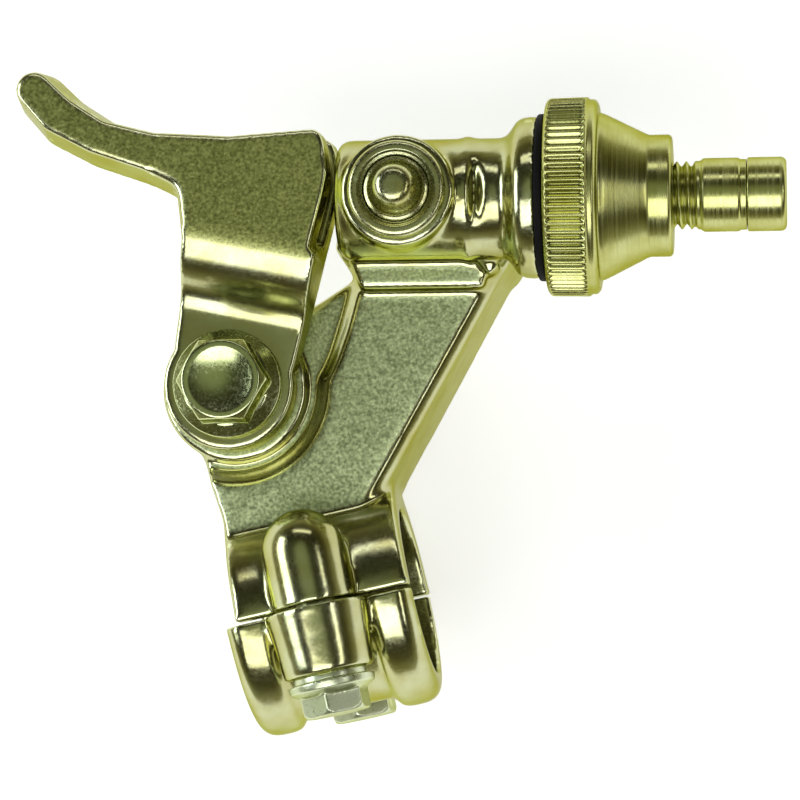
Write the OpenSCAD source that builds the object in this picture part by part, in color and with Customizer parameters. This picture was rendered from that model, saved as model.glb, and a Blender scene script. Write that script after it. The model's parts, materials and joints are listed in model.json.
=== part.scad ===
// Thumb lever and cable perch for a handlebar.
// Origin: centre of the handlebar bore. +X runs along the bar towards the cable adjuster,
// +Y points forward from the bar to the lever, +Z points up along the lever's pivot.

/* [Handlebar clamp] */
// Handlebar diameter that the clamp closes on
bar_d = 22.2; // [20:0.1:23]
// Thickness of the clamp ring's wall
ring_wall = 3.7; // [3.2:0.1:4.5]
// Left end of the cap along the bar
cap_left = -12.4; // [-14:0.1:-11.5]
// Left end of the perch's own half along the bar
perch_left = -10.8; // [-12:0.1:-9]
// Right end of both halves along the bar
clamp_right = 12.4; // [11:0.1:14]
// Gap between the two halves
split_gap = 0.4; // [0.3:0.1:1.2]
// Height of each clamp bolt's axis above and below the bar's axis
bolt_offset = 15.5; // [15.2:0.1:17]

/* [Perch arm] */
// Height of the arm's flat front face
arm_top = 9; // [8:0.5:10]
// Angle of the arm's long sloping side, from the bar's axis
side_angle = 48.3; // [44:0.1:52]
// Draft of that side
side_draft = 1.6; // [1:0.1:5]
// Bevel along the top of that side
side_bevel = 1.3; // [0.5:0.1:1.6]
// Depth of the clearance pocket under the lever
pocket_depth = 1.8; // [1:0.1:2.5]

/* [Lever] */
// Lever pivot, along the bar
pivot_x = -5.2; // [-7:0.1:-3]
// Lever pivot, forward of the bar
pivot_y = 31; // [29:0.1:33]
// Angle of the lever's body from straight forward
lever_angle = 24; // [20:0.5:28]
// Height of the lever's flat top
lever_top = 19.75; // [18:0.25:22]
// Height of the lug's top, where the pivot bolt sits
lug_top = 14; // [13:0.25:15]
// Width of the cable slot in the lever's head
slot_h = 3.8; // [3:0.1:3.9]

/* [Cable adjuster] */
// Height of the adjuster's axis
axis_z = 14; // [13:0.5:16]
// Angle of the adjuster's axis from the bar's axis
axis_angle = 12.5; // [8:0.5:16]
// Diameter of the housing that holds the adjuster
housing_d = 15.8; // [15:0.1:17]
// Diameter of the knurled wheel
wheel_d = 26; // [24:0.5:28]
// Number of knurls round the wheel
knurl_count = 71; // [48:1:80]
// Outer diameter of the threaded barrel
thread_d = 8.9; // [8:0.1:9.5]
// Pitch of the barrel's thread
thread_pitch = 1.25; // [1:0.25:1.5]

/* [Lock button] */
// Place of the button along the adjuster's axis, from the wheel's back face
button_u = -18.9; // [-20:0.1:-18]
// How far the button goes in
button_travel = 1.8; // [1:0.1:2]

/* [Hidden] */

$fn = 96;
bar_r = bar_d / 2;
ring_r = bar_r + ring_wall;
fit = 0.05;
far = 60;

// clamp bolts: M5 with an 8 mm hexagon
bolt_r = 2.45;
bolt_seat_y = -9;
bolt_washer_t = 0.9;
bolt_end_y = 9.5;
cap_boss_r = 6.7;
perch_boss_r = 5.4;
perch_boss_y = 7.4;

// pivot stack, from the back: nut, washer, arm, washer, lug, wave washer, bolt
arm_bottom = -arm_top;
side_inset = 0.6;
boss_top = 8.3;
boss_r = 9.7;
lug_bottom = 8.8;
lug_r = 8.6;
pivot_r = 2.95;
bush_r = 4.4;
wave_t = 0.4;
spring_groove_r = [4.7, 6.9];
spring_groove_floor = 3.4;

// lever planform in its own frame: w across, v along from the pivot
side_flare = 1;
bend_start_v = 8;
bend_end_v = 19.5;
bend_low_r = 5;
nipple_r = 2.3;
nipple_entry_r = 2.6;
nipple_entry_top = 11.6;
nipple_top = 18;

// adjuster, measured along its axis from the wheel's back face
wheel_origin = [41.1, 45.35, axis_z];
housing_r = housing_d / 2;
housing_left = -27.4;
flange_u = [-4.1, -1.1];
flange_r = 10.55;
spigot_end = 4.6;
spigot_r = 6.4;
barrel_bore_r = thread_d / 2 + fit;
barrel_bore_end = -13.8;
passage_r = 2;
barrel_left = -11;
key_u = -5;
thread_end = 19.6;
head_start = 20.4;
head_r = 4.8;
head_split = 26;
barrel_right = 31.1;
socket_r = 2.6;
socket_start = 21.6;
liner_r = 2.2;
wire_r = 1.2;

// button stack
bezel_top = 24.3;
bezel_thread_r = 5.4;
bezel_seat = 18.8;
button_seat = 17.2;
button_flange_r = 4.25;
button_flange_z = button_seat + button_travel + 1.2;
stem_r = 1.95;
stem_end = 3.6;
clip_z = 5.1;
boss_foot_z = 5.95;

// points of an arc, centre c, radius r, from angle a to angle b
function arc(c, r, a, b, n = 8) =
    [for (i = [0 : n]) c + r * [cos(a + (b - a) * i / n), sin(a + (b - a) * i / n)]];

// places the adjuster's own frame: +X out along its axis, +Z up
module adjuster_frame() {
    translate(wheel_origin) rotate([0, 0, -axis_angle]) children();
}

// turns a profile of [u, r] points round the adjuster's axis
module turned(points) {
    adjuster_frame() rotate([0, 90, 0]) rotate([0, 0, 180])
        rotate_extrude() polygon([for (p = points) [p[1], p[0]]]);
}

// a plain cylinder along the adjuster's axis from u0 to u1
module along_axis(u0, u1, r) {
    adjuster_frame() translate([u0, 0, 0]) rotate([0, 90, 0]) cylinder(h = u1 - u0, r = r);
}

// a cylinder along Z at a place on the adjuster's axis
module across_axis(u, z0, z1, r) {
    adjuster_frame() translate([u, 0, z0 - axis_z]) cylinder(h = z1 - z0, r = r);
}

// a flat ring on the Z axis
module ring(z0, z1, r_in, r_out) {
    translate([0, 0, z0]) difference() {
        cylinder(h = z1 - z0, r = r_out);
        translate([0, 0, -1]) cylinder(h = z1 - z0 + 2, r = r_in);
    }
}

// a cylinder along +Y from y0 to y1
module along_y(x, z, y0, y1, r, r_end = 0) {
    translate([x, y0, z]) rotate([-90, 0, 0])
        cylinder(h = y1 - y0, r1 = r, r2 = r_end > 0 ? r_end : r);
}

// a wire coil round the Z axis, swept with eight-sided sections
module coil(r, wire, pitch, turns, steps = 16) {
    sides = 8;
    rings = steps * turns;
    points = [for (i = [0 : rings]) for (j = [0 : sides - 1])
        let (t = 360 * i / steps, s = 360 * j / sides, q = r + wire * cos(s))
            [q * cos(t), q * sin(t), pitch * i / steps + wire * sin(s)]];
    sidewalls = [for (i = [0 : rings - 1]) for (j = [0 : sides - 1])
        let (k = (j + 1) % sides)
            [i * sides + j, i * sides + k, (i + 1) * sides + k, (i + 1) * sides + j]];
    polyhedron(points, concat(sidewalls,
        [[for (j = [sides - 1 : -1 : 0]) j], [for (j = [0 : sides - 1]) rings * sides + j]]),
        convexity = 6);
}

// ---- perch casting ----

// half of the clamp ring with both bolt bosses, on the arm's side
module perch_ring() {
    intersection() {
        rotate([0, 90, 0]) translate([0, 0, perch_left])
            cylinder(h = clamp_right - perch_left, r = ring_r);
        translate([-far, split_gap / 2, -far]) cube([2 * far, far, 2 * far]);
    }
    for (side = [-1, 1]) {
        along_y(0, side * bolt_offset, split_gap / 2, perch_boss_y, perch_boss_r);
        translate([0, perch_boss_y, side * bolt_offset]) sphere(r = perch_boss_r);
    }
}

// outline of the arm, seen from the front
module arm_outline() {
    polygon(concat(
        [[perch_left, 4], [perch_left + 0.4, 14], [pivot_x - 6.4, 24.5]],
        arc([pivot_x, pivot_y], boss_r, 222, 47, 20),
        [[8.2, 39.9], [13.5, 41.8], [11.9, 46.2], [13.1, 48.5], [39.3, 42.7], [38.2, 36.4],
         [36.4, 38.6], [33, 38], [13, 15], [clamp_right, 4]]));
}

// the arm, with its long side cut at the draft angle
module arm() {
    difference() {
        translate([0, 0, arm_bottom]) linear_extrude(arm_top - arm_bottom) arm_outline();
        rotate([0, 0, side_angle]) translate([0, side_inset, arm_top]) rotate([-side_draft, 0, 0])
            translate([12, -far, -far]) cube([far, far, far + 10]);
        // bevel along the top of that side
        rotate([0, 0, side_angle]) translate([0, side_inset, arm_top - side_bevel])
            rotate([-45, 0, 0]) translate([12, -far, -far]) cube([far, far, 2 * far]);
    }
}

// the adjuster's housing, its flange, the spigot for the wheel and the pads round them
module housing() {
    edge = 1.6;
    turned(concat([[housing_left, 0]],
        arc([housing_left + edge, housing_r - edge], edge, 180, 90, 6),
        [[-10.9, housing_r], [-10.7, housing_r + 0.35], [-9.9, housing_r + 0.35]],
        [[-9.8, housing_r], [-5.4, housing_r]],
        arc([flange_u[0] + 1.5, flange_r - 1.8], 1.8, 165, 90, 6),
        [[flange_u[1], flange_r], [flange_u[1], spigot_r], [spigot_end, spigot_r], [spigot_end, 0]]));
    adjuster_frame() {
        translate([0, 0, 6.5 - axis_z]) linear_extrude(5.1)
            polygon([[-27.2, -5.5], [-24.9, -11.3], [-8.6, -11.3], [-8, -5.5]]);
        // rib that runs down from the housing's block to the sloping side
        translate([-9.6, -6.3, 6 - axis_z]) rotate([0, 0, -50])
            translate([0, -0.9, 0]) cube([3.9, 1.8, 7]);
    }
    across_axis(button_u, 12, 22.7, 7.3);
    across_axis(button_u, boss_foot_z, 9, 4.4);
}

// hollows in the back of the arm, each a round-ended slot
module back_slot(x, y, angle, length, width) {
    translate([x, y, arm_bottom - 1]) rotate([0, 0, angle]) {
        translate([0, -width / 2, 0]) cube([length, width, 13]);
        cylinder(h = 13, r = width / 2);
        translate([length, 0, 0]) cylinder(h = 13, r = width / 2);
    }
}

// clearance under the lever: a dished ring round the pivot, and a bay that ends in a stepped ridge
module lever_pocket() {
    floor_r = 10.9;
    translate([pivot_x, pivot_y, arm_top - pocket_depth])
        cylinder(h = 4, r1 = floor_r, r2 = floor_r + 4);
    for (step = [[0, pocket_depth], [0.7, pocket_depth * 0.65], [1.3, pocket_depth * 0.3]]) {
        grow = step[0];
        translate([0, 0, arm_top - step[1]]) linear_extrude(10)
            polygon([[pivot_x, 38], [pivot_x, 31], [5.6 + grow, 29], [7.2 + grow, 30.6],
                     [8.6 + grow, 32.6], [10 + grow, 35], [11.6 + grow, 38],
                     [13.6 + grow, 42], [13.5 + grow, 44], [pivot_x, 44]]);
    }
}

module perch_body() {
    color([0.62, 0.64, 0.42]) difference() {
        union() {
            perch_ring();
            difference() {
                arm();
                lever_pocket();
            }
            translate([pivot_x, pivot_y, 0]) cylinder(h = boss_top, r = boss_r);
            housing();
        }
        // handlebar bore
        rotate([0, 90, 0]) translate([0, 0, -far]) cylinder(h = 2 * far, r = bar_r);
        // tapped holes for the clamp bolts
        for (side = [-1, 1]) {
            along_y(0, side * bolt_offset, -1, bolt_end_y + 0.5, bolt_r + fit);
        }
        // pivot hole and the return spring's groove
        translate([pivot_x, pivot_y, -far]) cylinder(h = 2 * far, r = pivot_r + fit);
        translate([pivot_x, pivot_y, 0])
            ring(spring_groove_floor, arm_top + 5, spring_groove_r[0], spring_groove_r[1]);
        // barrel bore, cable passage and its mouth
        along_axis(barrel_bore_end, 10, barrel_bore_r);
        along_axis(housing_left - 5, 0, passage_r);
        along_axis(housing_left - 1, housing_left + 1, 3.2);
        // snap ring groove in the spigot
        adjuster_frame() rotate([0, 90, 0]) ring(3.5, 4.3, 5.95, 8);
        // stepped hole for the button
        across_axis(button_u, bezel_seat, far, bezel_thread_r + fit);
        across_axis(button_u, button_seat, far, button_flange_r + 0.15);
        across_axis(button_u, 0, far, stem_r + fit);
        across_axis(button_u, 0, boss_foot_z, 6.2);
        // key pin hole
        across_axis(key_u, 0, axis_z, 0.71);
        // sloping notch beside the housing's rib
        adjuster_frame() translate([0, far, 0]) rotate([90, 0, 0]) linear_extrude(2 * far)
            polygon([[-9.4, 5.9], [-7.7, 8], [-7.7, 12], [-9.4, 12]]);
        // hollows in the back
        back_slot(11.6, 22.6, side_angle, 17, 7);
        back_slot(4.3, 28.4, side_angle, 8, 5);
        back_slot(-5.5, 18, 0, 9, 5);
    }
}

// ---- clamp ----

// full ring that the cap is cut from: two rounded lobes with a channel for the bolts between
module cap_ring() {
    corner = 2.4;
    inner_corner = 1.6;
    channel = 6.3;
    lobe = channel + inner_corner;
    rotate([0, 90, 0]) rotate_extrude()
        polygon(concat([[bar_r - 2, cap_left]],
            arc([ring_r - corner, cap_left + corner], corner, 270, 360, 6),
            arc([ring_r - inner_corner, -lobe], inner_corner, 0, 90, 5),
            arc([ring_r - inner_corner, lobe], inner_corner, 270, 360, 5),
            arc([ring_r - corner, clamp_right - corner], corner, 0, 90, 6),
            [[bar_r - 2, clamp_right]]));
}

module clamp_cap() {
    color([0.66, 0.67, 0.45]) difference() {
        union() {
            intersection() {
                cap_ring();
                translate([-far, -far - split_gap / 2, -far]) cube([2 * far, far, 2 * far]);
            }
            for (side = [-1, 1]) {
                along_y(0, side * bolt_offset, bolt_seat_y, -split_gap / 2, 5.9, cap_boss_r);
            }
        }
        rotate([0, 90, 0]) translate([0, 0, -far]) cylinder(h = 2 * far, r = bar_r);
        for (side = [-1, 1]) {
            along_y(0, side * bolt_offset, -far, 1, bolt_r + 0.3);
            // room for the bolt's head between the two lobes
            along_y(0, side * bolt_offset, -far, bolt_seat_y, 6.5);
        }
    }
}

// one flanged hexagon bolt under the cap, pointing along +Y
module clamp_bolt() {
    seat = bolt_seat_y - bolt_washer_t;
    along_y(0, 0, seat, bolt_end_y, bolt_r);
    along_y(0, 0, seat - 1, seat, 5.6, 5.75);
    along_y(0, 0, seat - 1.7, seat - 1, 4.4, 5.6);
    intersection() {
        translate([0, seat - 4.5, 0]) rotate([-90, 0, 0]) rotate([0, 0, 22])
            cylinder(h = 4, r = 8 / 2 / cos(30), $fn = 6);
        along_y(0, 0, seat - 4.5, seat - 0.5, 4.1, 7.2);
    }
}

module clamp_bolts() {
    color([0.78, 0.8, 0.74]) for (side = [-1, 1]) {
        translate([0, 0, side * bolt_offset]) clamp_bolt();
    }
}

// split spring washers under the bolt heads
module clamp_washers() {
    color([0.7, 0.71, 0.6]) for (side = [-1, 1]) {
        translate([0, bolt_seat_y - bolt_washer_t, side * bolt_offset]) difference() {
            rotate([-90, 0, 0]) ring(0, bolt_washer_t, bolt_r + 0.1, 4.9);
            rotate([0, 25, 0]) translate([0, -1, -0.4]) cube([8, 4, 0.8]);
        }
    }
}

// ---- lever ----

// puts children in the lever's frame: +Y along the lever from the pivot, +X to its right
module lever_frame() {
    translate([pivot_x, pivot_y, 0]) rotate([0, 0, -lever_angle]) children();
}

// a drafted block: a thin slice of the outline at the top, and a wider one below
module drafted(points, flare) {
    hull() {
        translate([0, 0, lever_top - 0.1]) linear_extrude(0.1) polygon(points);
        translate([0, 0, lug_bottom]) linear_extrude(0.1)
            polygon([for (p = points) [p[0] + sign(p[0]) * flare, p[1]]]);
    }
}

// a drafted round post, part of the thumb tab
module tab_post(p, r, z0) {
    translate([p[0], p[1], z0])
        cylinder(h = lever_top - z0, r1 = r + side_flare, r2 = r, $fn = 32);
}

// profile of the lever along its length: the lug, a smooth rise and the head
module lever_profile() {
    run = bend_end_v - bend_start_v;
    slope = 2 * atan2(lever_top - lug_top, run);
    high_r = run / sin(slope) - bend_low_r;
    rotate([90, 0, 90]) translate([0, 0, -far]) linear_extrude(2 * far)
        polygon(concat([[-20, lug_bottom], [-20, lug_top]],
            arc([bend_start_v, lug_top + bend_low_r], bend_low_r, 270, 270 + slope, 8),
            arc([bend_end_v, lever_top - high_r], high_r, 90 + 0.9 * slope, 90, 9),
            [[far, lever_top], [far, lug_bottom]]));
}

// solid shape of the lever before its holes
module lever_blank() {
    tab_z = 11.8;
    spine = [[-32.4, 32.9], [-28.7, 30.3], [-22.9, 28.3], [-15.5, 27.6], [-6, 27]];
    radii = [2.3, 2.5, 2.2, 2.5, 4.4];
    lever_frame() {
        intersection() {
            union() {
                cylinder(h = far, r = lug_r);
                hull() {
                    for (x = [-7.2, 7.2]) {
                        translate([x, 4, 0]) cylinder(h = far, r = 0.9, $fn = 24);
                    }
                    translate([-8.2, 18, 0]) cylinder(h = far, r = 0.9, $fn = 24);
                    translate([7.8, 18, 0]) cylinder(h = far, r = 0.9, $fn = 24);
                }
                drafted([[-7.2, 12], [-8.2, 17], [-9.6, 22.5], [-11.5, 25], [-9, 30.6], [-2.8, 32.1],
                         [5.2, 34.5], [6.1, 34.1], [6.8, 33], [8.1, 29], [8.1, 26], [7.5, 21.5],
                         [7.4, 12]], side_flare);
            }
            lever_profile();
        }
        for (i = [0 : len(spine) - 2]) {
            hull() {
                tab_post(spine[i], radii[i], tab_z);
                tab_post(spine[i + 1], radii[i + 1], tab_z);
            }
        }
        // fillet in the corner between the tab and the head
        translate([0, 0, tab_z + 0.2]) linear_extrude(lever_top - tab_z - 0.4)
            polygon(concat(arc([-14.4, 19.6], 5, 5, 85), [[-12, 27], [-8, 24]]));
    }
}

module thumb_lever() {
    slot_z = axis_z - slot_h / 2;
    color([0.48, 0.5, 0.26]) difference() {
        lever_blank();
        translate([pivot_x, pivot_y, 0]) cylinder(h = far, r = bush_r + 0.02);
        // socket for the cable's nipple, with a wider entry at the back
        nipple_place() translate([0, 0, -1]) cylinder(h = nipple_top + 1, r = nipple_r);
        nipple_place() translate([0, 0, -1]) cylinder(h = nipple_entry_top + 1, r = nipple_entry_r);
        // slot for the cable, open at the right side
        lever_frame() translate([1.2, 20.3, slot_z]) cube([far, far, slot_h]);
    }
}

// where the cable's nipple sits: on the adjuster's axis, inside the lever's head
module nipple_place() {
    adjuster_frame() translate([-34, 0, -axis_z]) children();
}

module lever_bush() {
    color([0.72, 0.58, 0.3]) translate([pivot_x, pivot_y, 0])
        ring(lug_bottom, lug_top, pivot_r + fit, bush_r);
}

// ---- pivot hardware ----

module thrust_washer() {
    color([0.85, 0.83, 0.75]) translate([pivot_x, pivot_y, 0])
        ring(boss_top, lug_bottom, pivot_r + fit, 8.2);
}

module wave_washer() {
    color([0.6, 0.62, 0.55]) translate([pivot_x, pivot_y, 0])
        ring(lug_top, lug_top + wave_t, pivot_r + fit, 6.6);
}

module pivot_bolt() {
    seat = lug_top + wave_t;
    color([0.7, 0.72, 0.42]) translate([pivot_x, pivot_y, 0]) {
        translate([0, 0, arm_bottom - 6.6]) cylinder(h = seat - arm_bottom + 6.6, r = pivot_r);
        translate([0, 0, seat]) cylinder(h = 0.9, r = 7.15);
        translate([0, 0, seat + 0.9]) cylinder(h = 1, r1 = 7, r2 = 5.6);
        intersection() {
            translate([0, 0, seat]) rotate([0, 0, -12]) cylinder(h = 6.3, r = 6, $fn = 6);
            difference() {
                translate([0, 0, seat]) cylinder(h = 6.3, r1 = 12.4, r2 = 5);
                translate([0, 0, seat + 6.3 + 12.9]) sphere(r = 13.6);
            }
        }
    }
}

module pivot_nut_washer() {
    color([0.7, 0.71, 0.6]) translate([pivot_x, pivot_y, 0])
        ring(arm_bottom - 1, arm_bottom, pivot_r + 0.1, 5.9);
}

// lock nut with a rounded collar at its outer end
module pivot_nut() {
    color([0.72, 0.73, 0.6]) translate([pivot_x, pivot_y, arm_bottom - 6.2]) difference() {
        union() {
            translate([0, 0, 1.4]) intersection() {
                cylinder(h = 3.8, r = 10 / 2 / cos(30), $fn = 6);
                cylinder(h = 3.8, r1 = 5.2, r2 = 9);
            }
            cylinder(h = 2, r1 = 4, r2 = 4.6);
        }
        translate([0, 0, -1]) cylinder(h = 10, r = pivot_r + 0.02);
    }
}

module return_spring() {
    color([0.45, 0.46, 0.44])
        translate([pivot_x, pivot_y, spring_groove_floor + 0.7]) coil(5.8, 0.5, 1.15, 3);
}

// ---- lock button ----

module lock_button() {
    color([0.66, 0.67, 0.45]) difference() {
        union() {
            across_axis(button_u, button_flange_z, 23.8, button_flange_r);
            adjuster_frame() translate([button_u, 0, 0]) rotate_extrude()
                polygon(concat([[0, 23.8 - axis_z], [button_flange_r, 23.8 - axis_z],
                                [3.6, 24.1 - axis_z], [3.15, 25.4 - axis_z], [2.9, 26.2 - axis_z]],
                    arc([1.2, 26.35 - axis_z], 1.6, 5, 90, 7), [[0, 27.95 - axis_z]]));
            across_axis(button_u, stem_end, button_flange_z, stem_r);
        }
        // slot that lets the cable pass, and stays clear of it when pressed
        adjuster_frame() translate([button_u - 4, -wire_r, -1.6]) cube([8, 2 * wire_r, 4.2]);
        // groove for the clip
        adjuster_frame() translate([button_u, 0, clip_z - axis_z]) ring(0, 0.8, 1.4, 3);
    }
}

module button_bezel() {
    color([0.6, 0.62, 0.42]) difference() {
        adjuster_frame() translate([button_u, 0, -axis_z]) rotate_extrude()
            polygon(concat([[0, bezel_seat], [bezel_thread_r, bezel_seat],
                            [bezel_thread_r, 22.75], [6.3, 22.75]],
                arc([5.6, 23.5], 0.75, 0, 90, 5), [[5, 24.25], [4.8, 23.95], [0, 23.95]]));
        across_axis(button_u, 0, far, button_flange_r + 0.1);
    }
}

module button_spring() {
    color([0.5, 0.5, 0.48]) adjuster_frame()
        translate([button_u, 0, button_seat + 0.25 - axis_z]) coil(3.1, 0.2, 0.83, 3);
}

// retaining clip on the button's stem
module button_clip() {
    color([0.35, 0.36, 0.35]) adjuster_frame() translate([button_u, 0, clip_z - axis_z])
        difference() {
            ring(0.02, 0.78, 1.42, 3.4);
            translate([-0.9, -8, -1]) cube([1.8, 8, 3]);
        }
}

// ---- cable adjuster ----

// star outline of the knurled band
module knurl_outline() {
    tip = wheel_d / 2;
    polygon([for (i = [0 : knurl_count - 1]) for (j = [0, 1])
        let (a = 360 * (i + j / 2) / knurl_count, r = tip - 0.55 * j)
            [r * cos(a), r * sin(a)]]);
}

// the knurled wheel and its cone, bored for the spigot and tapped for the barrel
module adjuster_wheel() {
    tip = wheel_d / 2;
    root = tip - 0.6;
    color([0.64, 0.65, 0.42]) difference() {
        union() {
            turned([[0.02, 0], [0.02, root - 0.5], [0.5, root], [5.4, root], [5.4, tip - 0.15],
                    [6.1, tip - 0.15], [6.6, tip - 0.45], [6.9, tip - 1.2], [6.9, 10.8], [7.9, 10.6],
                    [13.1, 8], [13.4, 7.9], [16, 7.9], [16.35, 7.6], [16.35, 0]]);
            adjuster_frame() translate([0.5, 0, 0]) rotate([0, 90, 0]) linear_extrude(4.9)
                knurl_outline();
        }
        along_axis(-1, spigot_end + 0.2, spigot_r + fit);
        adjuster_frame() rotate([0, 90, 0]) ring(3.45, 4.35, 4, 7.2);
        along_axis(0, 20, thread_d / 2 + fit);
    }
}

module rubber_washer() {
    color([0.04, 0.04, 0.04])
        turned([[flange_u[1], spigot_r + fit], [flange_u[1], 10.75], [0, 10.75],
                [0, spigot_r + fit]]);
}

// ring that holds the wheel on its spigot
module wheel_snap_ring() {
    color([0.4, 0.41, 0.4]) adjuster_frame() rotate([0, 90, 0]) difference() {
        ring(3.52, 4.28, 5.97, 7.1);
        translate([-1.2, 0, 0]) cube([2.4, 10, 6]);
    }
}

// threaded barrel, bored for the cable, with a keyway along its underside
module adjuster_barrel() {
    crest = thread_d / 2;
    root = crest - 0.45;
    ridges = floor((thread_end - barrel_left) / thread_pitch);
    color([0.64, 0.65, 0.42]) difference() {
        turned(concat([[barrel_left, 0]],
            [for (i = [0 : ridges - 1]) for (k = [0 : 3])
                let (u = barrel_left + (i + [0, 0.15, 0.5, 0.65][k]) * thread_pitch)
                    [u, k == 0 || k == 3 ? root : crest]],
            [[thread_end, root], [thread_end + 0.2, 4.3], [head_start, head_r],
             [head_split - 1.1, head_r], [head_split - 0.9, head_r - 0.15],
             [head_split - 0.05, head_r - 0.15], [head_split - 0.05, 3.9], [30, 3.9], [30, 0]]));
        along_axis(-far, far, liner_r + 0.02);
        along_axis(socket_start, far, socket_r);
        adjuster_frame() translate([barrel_left - 1, -0.8, -crest - 1]) cube([10.6, 1.6, 2.1]);
    }
}

module barrel_liner() {
    color([0.9, 0.9, 0.86])
        turned([[barrel_left, wire_r], [barrel_left, liner_r], [socket_start - 0.05, liner_r],
                [socket_start - 0.05, wire_r]]);
}

// pressed end piece that finishes the barrel's head
module barrel_end_cap() {
    inner = 3.92;
    color([0.66, 0.67, 0.45])
        turned(concat([[head_split, inner], [head_split, head_r - 0.1],
                       [head_split + 0.2, head_r]],
            arc([barrel_right - 1.3, head_r - 1.3], 1.3, 90, 0, 6),
            [[barrel_right, socket_r], [30.05, socket_r], [30.05, inner]]));
}

module barrel_key() {
    color([0.55, 0.56, 0.54]) across_axis(key_u, 5.6, 10.4, 0.7);
}

perch_body();
clamp_cap();
clamp_bolts();
clamp_washers();
thumb_lever();
lever_bush();
thrust_washer();
wave_washer();
pivot_bolt();
pivot_nut();
pivot_nut_washer();
return_spring();
lock_button();
button_bezel();
button_spring();
button_clip();
adjuster_wheel();
rubber_washer();
wheel_snap_ring();
adjuster_barrel();
barrel_liner();
barrel_end_cap();
barrel_key();
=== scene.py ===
"""Looks of the thumb lever and cable perch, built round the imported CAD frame."""
import json
import math

import bmesh
import bpy
from mathutils import Matrix, Vector

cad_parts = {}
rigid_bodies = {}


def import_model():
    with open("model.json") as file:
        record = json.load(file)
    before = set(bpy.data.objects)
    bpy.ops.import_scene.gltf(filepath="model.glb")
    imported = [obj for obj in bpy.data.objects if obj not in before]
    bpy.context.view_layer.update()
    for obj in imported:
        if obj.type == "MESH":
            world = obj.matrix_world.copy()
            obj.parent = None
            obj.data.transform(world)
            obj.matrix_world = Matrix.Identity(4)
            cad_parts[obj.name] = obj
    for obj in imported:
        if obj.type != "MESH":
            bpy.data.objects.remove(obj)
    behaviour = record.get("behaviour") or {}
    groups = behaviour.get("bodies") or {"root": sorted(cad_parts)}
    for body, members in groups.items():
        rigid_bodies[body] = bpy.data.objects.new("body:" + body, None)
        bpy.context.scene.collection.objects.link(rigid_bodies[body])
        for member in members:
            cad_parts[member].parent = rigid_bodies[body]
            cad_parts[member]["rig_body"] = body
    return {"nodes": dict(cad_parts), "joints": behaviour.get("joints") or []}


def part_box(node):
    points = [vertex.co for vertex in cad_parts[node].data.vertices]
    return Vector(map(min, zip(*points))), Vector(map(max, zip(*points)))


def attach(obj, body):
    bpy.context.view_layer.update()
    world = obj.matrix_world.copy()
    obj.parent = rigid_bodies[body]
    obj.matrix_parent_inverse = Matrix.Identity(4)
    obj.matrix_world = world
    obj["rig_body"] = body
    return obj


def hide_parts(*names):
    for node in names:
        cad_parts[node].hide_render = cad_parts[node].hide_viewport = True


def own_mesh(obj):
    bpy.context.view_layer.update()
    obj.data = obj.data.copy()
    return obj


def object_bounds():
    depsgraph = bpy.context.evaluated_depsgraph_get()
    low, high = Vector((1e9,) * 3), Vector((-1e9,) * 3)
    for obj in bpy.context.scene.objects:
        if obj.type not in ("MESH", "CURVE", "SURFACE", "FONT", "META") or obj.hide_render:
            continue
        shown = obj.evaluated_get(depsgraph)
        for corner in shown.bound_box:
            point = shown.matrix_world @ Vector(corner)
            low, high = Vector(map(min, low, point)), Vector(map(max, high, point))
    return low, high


MM = 0.001
# the lever's pivot in the frame, and the button along the adjuster's axis, in mm
PIVOT = (-5.2, 31)
BUTTON_ALONG = -18.9
# the camera: the point it looks at in mm, the way back to it, its distance in m and its lens
CAMERA_TARGET = (15.31, 25.55, 0)
CAMERA_WAY = (0.0822, -0.1226, 0.9890)
CAMERA_DISTANCE = 0.5
CAMERA_LENS = 167.6
# metals: how strongly grazing light keeps the plating's colour
EDGE_TINT = 0.55

# the studio's light by height: the sine of the angle above the floor, and the colour there
HORIZON = (0.0, (0.34, 0.33, 0.17, 1))
SKY_STOPS = ((0.35, (0.072, 0.066, 0.02, 1)), (0.72, (0.012, 0.012, 0.004, 1)),
             (0.92, (0.05, 0.052, 0.024, 1)))
OVERHEAD = (0.985, (0.26, 0.29, 0.17, 1))

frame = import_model()
cad_box = [list(corner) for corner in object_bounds()]
nodes = frame["nodes"]


# ---- places taken from the frame ----

def joint(name):
    """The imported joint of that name."""
    return next(j for j in frame["joints"] if j["name"] == name)


wheel_joint = joint("wheel_turn")
adjuster_origin = Vector(wheel_joint["pos_m"])
adjuster_axis = Vector(wheel_joint["axis"]).normalized()
UP = Vector((0, 0, 1))
adjuster_side = UP.cross(adjuster_axis)
adjuster_matrix = Matrix.Translation(adjuster_origin) @ Matrix(
    (adjuster_axis, adjuster_side, UP)).transposed().to_4x4()
picture_up = Vector((adjuster_side.x, adjuster_side.y, 0)).normalized()


# ---- camera, floor and lights ----

def add_camera():
    """A long lens nearly overhead, with the adjuster's axis level in the picture."""
    target = Vector(CAMERA_TARGET) * MM
    towards = Vector(CAMERA_WAY).normalized()
    data = bpy.data.cameras.new("camera")
    data.lens = CAMERA_LENS
    data.sensor_width = 36
    data.clip_start = 0.01
    camera = bpy.data.objects.new("camera", data)
    bpy.context.scene.collection.objects.link(camera)
    right = picture_up.cross(towards).normalized()
    up = towards.cross(right)
    basis = Matrix((right, up, towards)).transposed().to_4x4()
    camera.matrix_world = Matrix.Translation(target + towards * CAMERA_DISTANCE) @ basis
    bpy.context.scene.camera = camera


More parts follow.
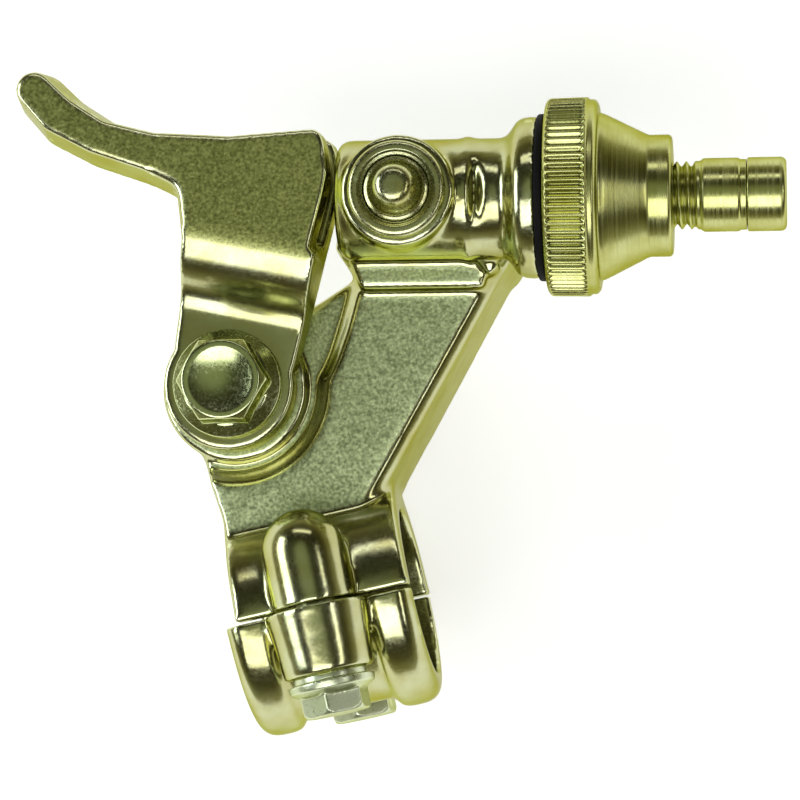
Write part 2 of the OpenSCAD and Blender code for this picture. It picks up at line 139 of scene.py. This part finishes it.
def add_floor():
    """A plain pale floor just under the part, glowing a little so that its shadow stays soft."""
    size, gap = 3.0, 0.0005
    low = Vector(cad_box[0])
    mesh = bpy.data.meshes.new("floor")
    corners = [(-size, -size), (size, -size), (size, size), (-size, size)]
    mesh.from_pydata([(x, y, 0) for x, y in corners], [], [(0, 1, 2, 3)])
    floor = bpy.data.objects.new("floor", mesh)
    floor.location = (0.015, 0.025, low.z - gap)
    bpy.context.scene.collection.objects.link(floor)
    material = bpy.data.materials.new("floor_white")
    material.use_nodes = True
    shader = material.node_tree.nodes["Principled BSDF"]
    shader.inputs["Base Color"].default_value = (0.8, 0.8, 0.79, 1)
    shader.inputs["Roughness"].default_value = 0.8
    shader.inputs["Emission Color"].default_value = (1, 1, 1, 1)
    shader.inputs["Emission Strength"].default_value = 0.62
    mesh.materials.append(material)


def add_panel(name, across, along, distance, width, height, watts, color=(1, 1, 1)):
    """A softbox. across and along: degrees from straight up, to the picture's right and top."""
    direction = (UP + picture_up * math.tan(math.radians(along))
                 + adjuster_axis * math.tan(math.radians(across))).normalized()
    data = bpy.data.lights.new(name, "AREA")
    data.shape = "RECTANGLE"
    data.size = width
    data.size_y = height
    data.energy = watts
    data.color = color
    light = bpy.data.objects.new(name, data)
    centre = Vector((0.02, 0.025, 0))
    light.location = centre + direction * distance
    right = picture_up.cross(direction).normalized()
    light.matrix_world = Matrix.Translation(light.location) @ Matrix(
        (right, direction.cross(right), direction)).transposed().to_4x4()
    bpy.context.scene.collection.objects.link(light)


def add_world():
    """A dim studio: pale near the floor, dark and warm higher up, softly lit right overhead."""
    world = bpy.data.worlds.new("studio")
    bpy.context.scene.world = world
    world.use_nodes = True
    tree = world.node_tree
    coordinates = tree.nodes.new("ShaderNodeTexCoord")
    direction = tree.nodes.new("ShaderNodeSeparateXYZ")
    ramp = tree.nodes.new("ShaderNodeValToRGB")
    tree.links.new(coordinates.outputs["Generated"], direction.inputs[0])
    tree.links.new(direction.outputs["Z"], ramp.inputs[0])
    tree.links.new(ramp.outputs["Color"], tree.nodes["Background"].inputs["Color"])
    stops = ramp.color_ramp.elements
    stops[0].position, stops[0].color = HORIZON
    stops[1].position, stops[1].color = OVERHEAD
    for position, color in SKY_STOPS:
        stops.new(position).color = color


def add_lights():
    """A broad key from below the picture, a cool strip at the left, weak ones right and top."""
    add_panel("key_panel", -5, -30, 1.0, 0.8, 0.6, 4.6, (0.95, 0.97, 1))
    add_panel("left_panel", -58, 8, 1.1, 0.42, 0.9, 5.6, (0.84, 0.93, 1))
    add_panel("right_panel", 44, -6, 1.1, 0.14, 0.7, 1)
    add_panel("top_panel", 2, 50, 1.1, 0.9, 0.16, 0.9)


# ---- materials ----

def build_material(name, base, metallic, roughness, edge_tint=1.0):
    """A principled material with its node tree, ready for detail."""
    material = bpy.data.materials.new(name)
    material.use_nodes = True
    tree = material.node_tree
    shader = tree.nodes["Principled BSDF"]
    shader.inputs["Base Color"].default_value = (*base, 1)
    shader.inputs["Metallic"].default_value = metallic
    shader.inputs["Roughness"].default_value = roughness
    tint = (edge_tint, edge_tint, 0.4 * edge_tint, 1) if metallic else (1, 1, 1, 1)
    shader.inputs["Specular Tint"].default_value = tint
    return material, tree, shader


def add_noise(tree, size_mm, detail=3.0, stretch=None):
    """Noise whose grains are about size_mm across, in the object's own metres."""
    coordinates = tree.nodes.new("ShaderNodeTexCoord")
    noise = tree.nodes.new("ShaderNodeTexNoise")
    noise.inputs["Scale"].default_value = 1 / (size_mm * MM)
    noise.inputs["Detail"].default_value = detail
    source = coordinates.outputs["Object"]
    if stretch:
        mapping = tree.nodes.new("ShaderNodeMapping")
        mapping.vector_type = "TEXTURE"
        mapping.inputs["Rotation"].default_value = stretch[0]
        mapping.inputs["Scale"].default_value = stretch[1]
        tree.links.new(source, mapping.inputs["Vector"])
        source = mapping.outputs["Vector"]
    tree.links.new(source, noise.inputs["Vector"])
    return noise.outputs["Fac"]


def remap(tree, value, low, high, from_low=0.3, from_high=0.7):
    node = tree.nodes.new("ShaderNodeMapRange")
    node.inputs["From Min"].default_value = from_low
    node.inputs["From Max"].default_value = from_high
    node.inputs["To Min"].default_value = low
    node.inputs["To Max"].default_value = high
    tree.links.new(value, node.inputs["Value"])
    return node.outputs["Result"]


def mix_colors(tree, factor, first, second):
    node = tree.nodes.new("ShaderNodeMix")
    node.data_type = "RGBA"
    tree.links.new(factor, node.inputs["Factor"])
    for socket, value in ((node.inputs[6], first), (node.inputs[7], second)):
        if isinstance(value, tuple):
            socket.default_value = (*value, 1)
        else:
            tree.links.new(value, socket)
    return node.outputs[2]


def add_bumps(tree, shader, layers):
    """Stacks bump layers, each (height socket, strength, depth in mm)."""
    previous = None
    for height, strength, depth in layers:
        bump = tree.nodes.new("ShaderNodeBump")
        bump.inputs["Strength"].default_value = strength
        bump.inputs["Distance"].default_value = depth * MM
        tree.links.new(height, bump.inputs["Height"])
        if previous:
            tree.links.new(previous, bump.inputs["Normal"])
        previous = bump.outputs["Normal"]
    tree.links.new(previous, shader.inputs["Normal"])


def add_face_mask(tree, heights):
    """1 on flat faces that look up and lie between two heights in mm, 0 elsewhere."""
    coordinates = tree.nodes.new("ShaderNodeTexCoord")
    normal = tree.nodes.new("ShaderNodeSeparateXYZ")
    place = tree.nodes.new("ShaderNodeSeparateXYZ")
    tree.links.new(coordinates.outputs["Normal"], normal.inputs[0])
    tree.links.new(coordinates.outputs["Object"], place.inputs[0])
    up = remap(tree, normal.outputs["Z"], 0, 1, 0.965, 0.992)
    above = remap(tree, place.outputs["Z"], 0, 1, (heights[0] - 0.3) * MM, heights[0] * MM)
    below = remap(tree, place.outputs["Z"], 1, 0, heights[1] * MM, (heights[1] + 0.3) * MM)
    return multiply(tree, multiply(tree, up, above), below)


def multiply(tree, first, second):
    node = tree.nodes.new("ShaderNodeMath")
    node.operation = "MULTIPLY"
    tree.links.new(first, node.inputs[0])
    tree.links.new(second, node.inputs[1])
    return node.outputs["Value"]


def mix_values(tree, factor, first, second):
    node = tree.nodes.new("ShaderNodeMix")
    tree.links.new(factor, node.inputs["Factor"])
    for socket, value in ((node.inputs[2], first), (node.inputs[3], second)):
        if isinstance(value, (int, float)):
            socket.default_value = value
        else:
            tree.links.new(value, socket)
    return node.outputs[0]


def plated_metal(name, base, tarnish_and_shade, roughness, grain=0.35, grain_depth=0.01, wave_depth=0.03,
                 painted_edges_and_hollows=True, spread=0.5, face=None):
    """Bright plating: slow waves, fine grain, dull blotches, a painted highlight on the edges and
    painted shade in the hollows.
    face is an as-cast or satin face: (heights, its roughness, grain depth, colour)."""
    material, tree, shader = build_material(name, base, 1.0, roughness, EDGE_TINT)
    blotch = add_noise(tree, 5, 4)
    fine = add_noise(tree, grain, 4)
    color = mix_colors(tree, remap(tree, blotch, 0.05, 0.7), base, tarnish_and_shade)
    rough = remap(tree, fine, roughness * (1 - spread), roughness * (1 + spread))
    face_layers = []
    if face:
        heights, face_rough, face_depth, face_color = face
        mask = add_face_mask(tree, heights)
        coarse = add_noise(tree, 0.4, 4)
        shade = mix_colors(tree, remap(tree, coarse, 0, 1), tuple(0.62 * c for c in face_color),
                           tuple(1.25 * c for c in face_color))
        color = mix_colors(tree, mask, color, shade)
        face_shine = remap(tree, coarse, face_rough * 0.8, face_rough * 1.2)
        rough = mix_values(tree, mask, rough, face_shine)
        face_layers = [(multiply(tree, coarse, mask), 0.5, face_depth)]
    if painted_edges_and_hollows:
        geometry = tree.nodes.new("ShaderNodeNewGeometry")
        # painted highlight: convex edges, found by pointiness, get a brighter, paler colour
        edge_highlight = remap(tree, geometry.outputs["Pointiness"], 0, 1, 0.505, 0.56)
        color = mix_colors(tree, edge_highlight, color, tuple(min(1, 1.15 * c + 0.08) for c in base))
        # painted shade: hollows, found by pointiness, get a dark colour, a fifth of the tarnish
        # colour
        hollow_shade = remap(tree, geometry.outputs["Pointiness"], 0.75, 0, 0.42, 0.478)
        color = mix_colors(tree, hollow_shade, color, tuple(0.2 * c for c in tarnish_and_shade))
    tree.links.new(color, shader.inputs["Base Color"])
    tree.links.new(rough, shader.inputs["Roughness"])
    add_bumps(tree, shader, [(add_noise(tree, 6, 2), 0.6, wave_depth),
                             (add_noise(tree, 1.6, 2), 0.4, wave_depth / 4),
                             (fine, 0.2, grain_depth)] + face_layers)
    return material


def turned_metal(name, base, tarnish_and_shade, roughness, axis_angle):
    """Plating over lathe marks: fine rings square to the adjuster's axis, and painted shade in the
    hollows.
    """
    material, tree, shader = build_material(name, base, 1.0, roughness, EDGE_TINT)
    turn = (0, 0, axis_angle)
    rings = add_noise(tree, 0.3, 2, (turn, (1, 80, 80)))
    blotch = add_noise(tree, 4, 3)
    color = mix_colors(tree, remap(tree, blotch, 0, 0.7), base, tarnish_and_shade)
    geometry = tree.nodes.new("ShaderNodeNewGeometry")
    # painted shade: hollows, found by pointiness, get a dark colour, a quarter of the tarnish
    # colour
    hollow_shade = remap(tree, geometry.outputs["Pointiness"], 0.8, 0, 0.42, 0.49)
    color = mix_colors(tree, hollow_shade, color, tuple(0.25 * c for c in tarnish_and_shade))
    tree.links.new(color, shader.inputs["Base Color"])
    tree.links.new(remap(tree, rings, roughness * 0.7, roughness * 1.4),
                   shader.inputs["Roughness"])
    add_bumps(tree, shader, [(rings, 0.35, 0.01), (add_noise(tree, 1.8, 3), 0.4, 0.02),
                             (add_noise(tree, 0.25, 3), 0.25, 0.01)])
    return material


def soft_material(name, base, roughness, grain, depth, gloss=0.5):
    """Rubber or nylon: not metal, with a fine moulded grain."""
    material, tree, shader = build_material(name, base, 0.0, roughness)
    shader.inputs["Specular IOR Level"].default_value = gloss
    fine = add_noise(tree, grain, 4)
    second = tuple(0.8 * c for c in base)
    tree.links.new(mix_colors(tree, remap(tree, fine, 0, 1), base, second),
                   shader.inputs["Base Color"])
    tree.links.new(remap(tree, fine, roughness * 0.8, min(1, roughness * 1.25)),
                   shader.inputs["Roughness"])
    add_bumps(tree, shader, [(fine, 0.3, depth)])
    return material


turn_angle = math.atan2(adjuster_axis.y, adjuster_axis.x)
PLATE = (0.58, 0.6, 0.37)
DULL = (0.41, 0.37, 0.1)
casting_plated = plated_metal("casting_plated", PLATE, DULL, 0.18, 0.3, 0.01, 0.13, spread=0.3,
                              face=((6.9, 11.8), 0.38, 0.05, (0.66, 0.74, 0.42)))
lever_plated = plated_metal("lever_satin", PLATE, DULL, 0.19, 0.3, 0.008, 0.05, spread=0.3,
                            face=((19.2, 20), 0.34, 0.035, (0.5, 0.52, 0.18)))
turned_plated = turned_metal("turned_plated", (0.58, 0.59, 0.26), (0.4, 0.39, 0.09), 0.24,
                             turn_angle)
button_plated = plated_metal("button_plated", PLATE, DULL, 0.24, 0.25, 0.01, 0.02)
zinc_bright = plated_metal("zinc_bright", (0.7, 0.74, 0.54), (0.5, 0.56, 0.32), 0.32, 0.3,
                           0.003, 0.01, spread=0.2)
zinc_yellow = plated_metal("zinc_yellow", (0.68, 0.72, 0.42), (0.42, 0.48, 0.18), 0.2, 0.35,
                           0.016, 0.04, spread=0.4)
spring_steel = plated_metal("spring_steel", (0.42, 0.43, 0.41), (0.3, 0.31, 0.29), 0.3, 0.2,
                            0.004, 0.004, painted_edges_and_hollows=False)
black_rubber = soft_material("black_rubber", (0.005, 0.005, 0.005), 0.7, 0.2, 0.02, 0.15)
natural_nylon = soft_material("natural_nylon", (0.82, 0.8, 0.72), 0.45, 0.3, 0.01)
bronze = plated_metal("bronze", (0.7, 0.5, 0.26), (0.5, 0.33, 0.16), 0.35, 0.15, 0.006, 0.004,
                      painted_edges_and_hollows=False)


# ---- mesh helpers ----

def new_piece(name, mesh, body, slot, material, *replaced):
    """A piece of the visual model that rides a body and stands in for CAD nodes."""
    piece = bpy.data.objects.new(name, mesh)
    bpy.context.scene.collection.objects.link(piece)
    mesh.materials.clear()
    mesh.materials.append(material)
    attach(piece, body)
    if replaced:
        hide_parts(*replaced)
    return piece


def baked(piece):
    """Applies a piece's modifiers to its mesh."""
    graph = bpy.context.evaluated_depsgraph_get()
    mesh = bpy.data.meshes.new_from_object(piece.evaluated_get(graph))
    piece.modifiers.clear()
    piece.data = mesh


def welded_copy(node):
    """A CAD node's mesh with its doubled vertices joined."""
    mesh = nodes[node].data.copy()
    work = bmesh.new()
    work.from_mesh(mesh)
    bmesh.ops.remove_doubles(work, verts=work.verts, dist=0.002 * MM)
    work.to_mesh(mesh)
    work.free()
    return mesh


def mesh_from(name, vertices, faces):
    """A smooth closed mesh whose faces all look outwards."""
    mesh = bpy.data.meshes.new(name)
    mesh.from_pydata(vertices, [], faces)
    work = bmesh.new()
    work.from_mesh(mesh)
    bmesh.ops.recalc_face_normals(work, faces=work.faces)
    work.to_mesh(mesh)
    work.free()
    mesh.shade_smooth()
    return mesh


def rounded(node, name, slot, material, voxel, rounds, keep_ratio=1.0, weight=None):
    """A fine copy of a CAD node whose edges and corners are softened like a real casting's."""
    body = nodes[node]["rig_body"]
    piece = new_piece(name, welded_copy(node), body, slot, material, node)
    remesh = piece.modifiers.new("remesh", "REMESH")
    remesh.mode = "VOXEL"
    remesh.voxel_size = voxel * MM
    baked(piece)
    smooth = piece.modifiers.new("smooth", "SMOOTH")
    smooth.factor = 0.5
    smooth.iterations = rounds
    if weight:
        group = piece.vertex_groups.new(name="softness")
        levels = {}
        for vertex in piece.data.vertices:
            level = round(max(0.0, min(1.0, weight(vertex.co / MM))), 2)
            levels.setdefault(level, []).append(vertex.index)
        for level, indices in levels.items():
            group.add(indices, level, "REPLACE")
        smooth.vertex_group = "softness"
    baked(piece)
    if keep_ratio < 1:
        decimate = piece.modifiers.new("decimate", "DECIMATE")
        decimate.ratio = keep_ratio
        baked(piece)
    piece.vertex_groups.clear()
    piece.data.materials.clear()
    piece.data.materials.append(material)
    piece.data.shade_smooth()
    return piece


# ---- cast pieces ----

# how far a casting's surface is softened at a point in mm, from 0 (kept) to 1

KEPT, CRISP, SOFT = 0.05, 0.15, 1.0


def perch_softness(point):
    """Cast faces are well rounded; the machined seats for other parts stay crisp."""
    local = adjuster_matrix.inverted() @ (point * MM) / MM
    off_axis = math.hypot(local.y, local.z)
    off_button = math.hypot(local.x - BUTTON_ALONG, local.y)
    off_pivot = math.hypot(point.x - PIVOT[0], point.y - PIVOT[1])
    wheel_seat = local.x > -2.2 and off_axis < 11
    arm_end = point.z < -4 and point.y > 30 and local.x > -30
    button_seat = point.z > 20 and off_button < 6.2
    cable_bore = local.x > -20 and off_axis < 6
    flange_recess = point.z > 16 and -11 < local.x < -6.6
    clamp_face = point.y < 1.2
    dished_ring = point.z > 5 and 10.2 < off_pivot < 17
    pivot_seat = off_pivot < 9.3
    clamp_bore = math.hypot(point.y, point.z) < 12
    lower_arm = point.z < 0 and local.x > -30 and local.y > -4
    if wheel_seat:
        return 0.04
    if arm_end:
        return SOFT
    if button_seat or cable_bore:
        return KEPT
    if flange_recess:
        return SOFT
    if clamp_face:
        return CRISP
    if dished_ring:
        return SOFT
    if pivot_seat:
        return 0.08
    if clamp_bore:
        return CRISP
    if lower_arm:
        return 0.3
    return SOFT if point.y < 20 else 0.6


def cap_softness(point):
    """The cap's outside is soft; its bore and its clamping face stay crisp."""
    clamp_bore = math.hypot(point.y, point.z) < 12
    return CRISP if clamp_bore or point.y > -1 else 0.8


def lever_softness(point):
    """The inside corner between the tab and the head has a wide fillet."""
    inside_corner = math.hypot(point.x + 5.1, point.y - 57) < 5
    return SOFT if inside_corner else 0.25


def add_castings():
    """The perch, its cap and the lever. Voxels are in mm, and finer where the piece is thinner."""
    rounded("perch_body", "perch_casting", "cast_plated", casting_plated, 0.28, 60, 0.45,
            perch_softness)
    rounded("clamp_cap", "cap_casting", "cast_plated", casting_plated, 0.28, 40, 0.6,
            cap_softness)
    rounded("thumb_lever", "lever_casting", "lever_plated", lever_plated, 0.26, 60, 0.6,
            lever_softness)


def add_fasteners():
    """Bolts, nut and washers, with lightly worn edges."""
    rounded("clamp_bolts", "clamp_bolts_worn", "bolt_zinc", zinc_bright, 0.13, 8, 0.4)
    rounded("clamp_washers", "clamp_washers_worn", "bolt_zinc", zinc_bright, 0.12, 3, 0.4)
    rounded("pivot_bolt", "pivot_bolt_worn", "bolt_yellow_zinc", zinc_yellow, 0.13, 9, 0.4)
    rounded("pivot_nut", "pivot_nut_worn", "bolt_zinc", zinc_bright, 0.14, 4, 0.4)
    rounded("pivot_nut_washer", "nut_washer_worn", "bolt_zinc", zinc_bright, 0.14, 3, 0.4)


# ---- turned pieces of the adjuster ----

def rounded_profile(corners, radius, steps=5):
    """Closed outline of (along, out) corners in mm, each corner rounded by an arc."""
    outline = []
    count = len(corners)
    for i in range(count):
        before, corner, after = (Vector(corners[(i + k) % count]) for k in (-1, 0, 1))
        first, second = before - corner, after - corner
        reach = min(radius, 0.45 * first.length, 0.45 * second.length)
        start = corner + first.normalized() * reach
        end = corner + second.normalized() * reach
        for k in range(steps + 1):
            t = k / steps
            outline.append(start.lerp(corner, t).lerp(corner.lerp(end, t), t))
    return outline


def split_long(outline, longest):
    """Adds points on an outline's long sides, so that a pattern on them has points to move."""
    fine = []
    for i, point in enumerate(outline):
        following = outline[(i + 1) % len(outline)]
        parts = max(1, math.ceil((following - point).length / longest))
        fine.extend(point.lerp(following, k / parts) for k in range(parts))
    return fine


def lathe(name, outline, steps, shape=None):
    """Turns an outline round the adjuster's axis. shape(along, out, turn) gives the radius."""
    vertices = []
    for k in range(steps):
        turn = 2 * math.pi * k / steps
        for point in outline:
            out = shape(point.x, point.y, turn) if shape else point.y
            local = Vector((point.x, out * math.cos(turn), out * math.sin(turn))) * MM
            vertices.append(adjuster_matrix @ local)
    count = len(outline)
    faces = []
    for k in range(steps):
        here, there = k * count, (k + 1) % steps * count
        for i in range(count):
            j = (i + 1) % count
            faces.append((here + i, here + j, there + j, there + i))
    return mesh_from(name, vertices, faces)


def add_wheel():
    """Knurled nut: rounded knurls, a plain rim, a step and the cone down to the collar."""
    knurls, samples, depth = 71, 10, 0.52
    rim, band_start, band_end = 13.0, 0.35, 5.5
    thread, spigot, collar, length, step = 4.55, 6.47, 7.95, 16.35, 4.85
    corners = [(0.02, spigot), (0.02, rim - 0.75), (0.5, rim - 0.1), (band_end, rim),
               (5.75, rim - 0.3), (6.5, rim - 0.3), (6.9, rim - 0.9), (6.95, 11.0), (7.7, 10.75),
               (12.9, collar + 0.2), (13.35, collar), (16.0, collar), (length, 7.6),
               (length, thread), (step, thread), (step, spigot)]

    def shape(along, out, turn):
        if out < rim - 1 or not band_start < along < band_end:
            return out
        ends = max(0, min(1, (along - band_start) / 0.5, (band_end - along) / 0.5))
        return out - depth * ends * (1 + math.cos(turn * knurls)) / 2

    outline = split_long(rounded_profile(corners, 0.3), 0.35)
    mesh = lathe("wheel_knurled", outline, knurls * samples, shape)
    new_piece("wheel_knurled", mesh, "wheel", "turned_plated", turned_plated, "adjuster_wheel")


def add_barrel():
    """Barrel with a helical thread and a key slot, its head and the groove before its end."""
    pitch, crest, root = 1.25, 4.45, 3.75
    start, thread_end, slot_end = -11, 19.6, -1.4
    head, groove, spigot, socket, bore = 4.8, 4.6, 3.9, 2.6, 2.22
    head_end, spigot_start, spigot_end, socket_floor = 24.9, 25.95, 30, 21.6
    corners = [(start, bore), (start, crest - 0.5), (start + 0.5, crest),
               (thread_end + 0.3, crest), (20.4, head), (head_end, head), (25.1, groove),
               (spigot_start, groove), (spigot_start, spigot), (spigot_end, spigot),
               (spigot_end, socket), (socket_floor, socket), (socket_floor, bore)]

    def shape(along, out, turn):
        if out < 4 or along > thread_end:
            return out
        phase = (along / pitch - turn / (2 * math.pi)) % 1
        flank = abs(2 * phase - 1)
        fade = min(1, (thread_end - along) / 0.6, (along - start) / 0.4)
        radius = out - (crest - root) * max(0, fade) * min(1, max(0, 1.25 * flank - 0.12))
        in_slot = math.cos(turn + math.pi / 2) > 0.983 and along < slot_end
        return min(radius, 3.3) if in_slot else radius

    outline = split_long(rounded_profile(corners, 0.15, 3), 0.13)
    mesh = lathe("barrel_threaded", outline, 96, shape)
    new_piece("barrel_threaded", mesh, "barrel", "turned_plated", turned_plated,
              "adjuster_barrel")


def add_end_cap():
    """The rounded cap over the barrel's spigot."""
    start, floor, end, inside, outside, hole = 26.02, 30.06, 31.1, 3.93, 4.82, 2.62
    corners = [(start, inside), (start, outside - 0.07), (start + 0.28, outside),
               (end, outside), (end, hole), (floor, hole), (floor, inside)]
    mesh = lathe("end_cap_turned", rounded_profile(corners, 0.9, 8), 96)
    new_piece("end_cap_turned", mesh, "barrel", "turned_plated", turned_plated, "barrel_end_cap")


def add_rubber_washer():
    """The black washer between the housing and the wheel, a little domed outside."""
    corners = [(-1.08, 6.5), (-1.15, 10.9), (-0.1, 10.95), (-0.02, 6.5)]
    mesh = lathe("rubber_washer_moulded", rounded_profile(corners, 0.4), 128)
    new_piece("rubber_washer_moulded", mesh, "perch", "rubber", black_rubber, "rubber_washer")


def button_softness(point):
    """The button's top is a soft dome; its stem stays crisp."""
    return SOFT if point.z > 25.6 else CRISP


def add_button():
    """The button and the bezel that it slides in."""
    rounded("lock_button", "button_worn", "turned_plated", button_plated, 0.12, 60, 0.4,
            button_softness)
    rounded("button_bezel", "bezel_worn", "turned_plated", button_plated, 0.12, 6, 0.4)


def add_bush():
    """The lever's bush, a hair shorter than its CAD node so that it turns clear of the washers."""
    shortened = 0.99
    mesh = welded_copy("lever_bush")
    low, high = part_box("lever_bush")
    middle = (low[2] + high[2]) / 2
    for vertex in mesh.vertices:
        vertex.co.z = middle + shortened * (vertex.co.z - middle)
    new_piece("lever_bush_turned", mesh, nodes["lever_bush"]["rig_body"], "bronze", bronze,
              "lever_bush")


def add_coil(name, node, wire, turns, sides=12, steps=40):
    """A smooth coil of wire (its radius in mm) round an upright axis, as large as its node."""
    low, high = (Vector(corner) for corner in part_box(node))
    middle = (low + high) / 2
    thick = wire * MM
    radius = (high.x - low.x) / 2 - thick
    rise = high.z - low.z - 2 * thick
    vertices = []
    for k in range(steps * turns + 1):
        turn = 2 * math.pi * k / steps
        height = low.z + thick + rise * k / (steps * turns)
        for i in range(sides):
            around = 2 * math.pi * i / sides
            out = radius + thick * math.cos(around)
            vertices.append((middle.x + out * math.cos(turn), middle.y + out * math.sin(turn),
                             height + thick * math.sin(around)))
    faces = [tuple(reversed(range(sides))), tuple(range(len(vertices) - sides, len(vertices)))]
    for k in range(steps * turns):
        here, there = k * sides, (k + 1) * sides
        for i in range(sides):
            j = (i + 1) % sides
            faces.append((here + i, here + j, there + j, there + i))
    mesh = mesh_from(name, vertices, faces)
    return new_piece(name, mesh, "perch", "spring_steel", spring_steel, node)


def add_springs():
    """The lever's return spring, and the button's spring, which gets a mesh of its own."""
    add_coil("return_spring_coil", "return_spring", 0.5, 3)
    coil = add_coil("button_spring_coil", "button_spring", 0.2, 3)
    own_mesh(coil)


def finish_plain_nodes():
    """CAD nodes whose shape is right as it is."""
    finishes = {
        "thrust_washer": natural_nylon, "barrel_liner": natural_nylon,
        "wave_washer": spring_steel, "button_clip": spring_steel,
        "wheel_snap_ring": spring_steel, "barrel_key": spring_steel,
    }
    for name, material in finishes.items():
        mesh = nodes[name].data
        mesh.materials.clear()
        mesh.materials.append(material)


bpy.context.scene.view_settings.view_transform = "Standard"
add_camera()
add_floor()
add_world()
add_lights()
add_castings()
add_fasteners()
add_button()
add_wheel()
add_barrel()
add_end_cap()
add_rubber_washer()
add_springs()
add_bush()
finish_plain_nodes()
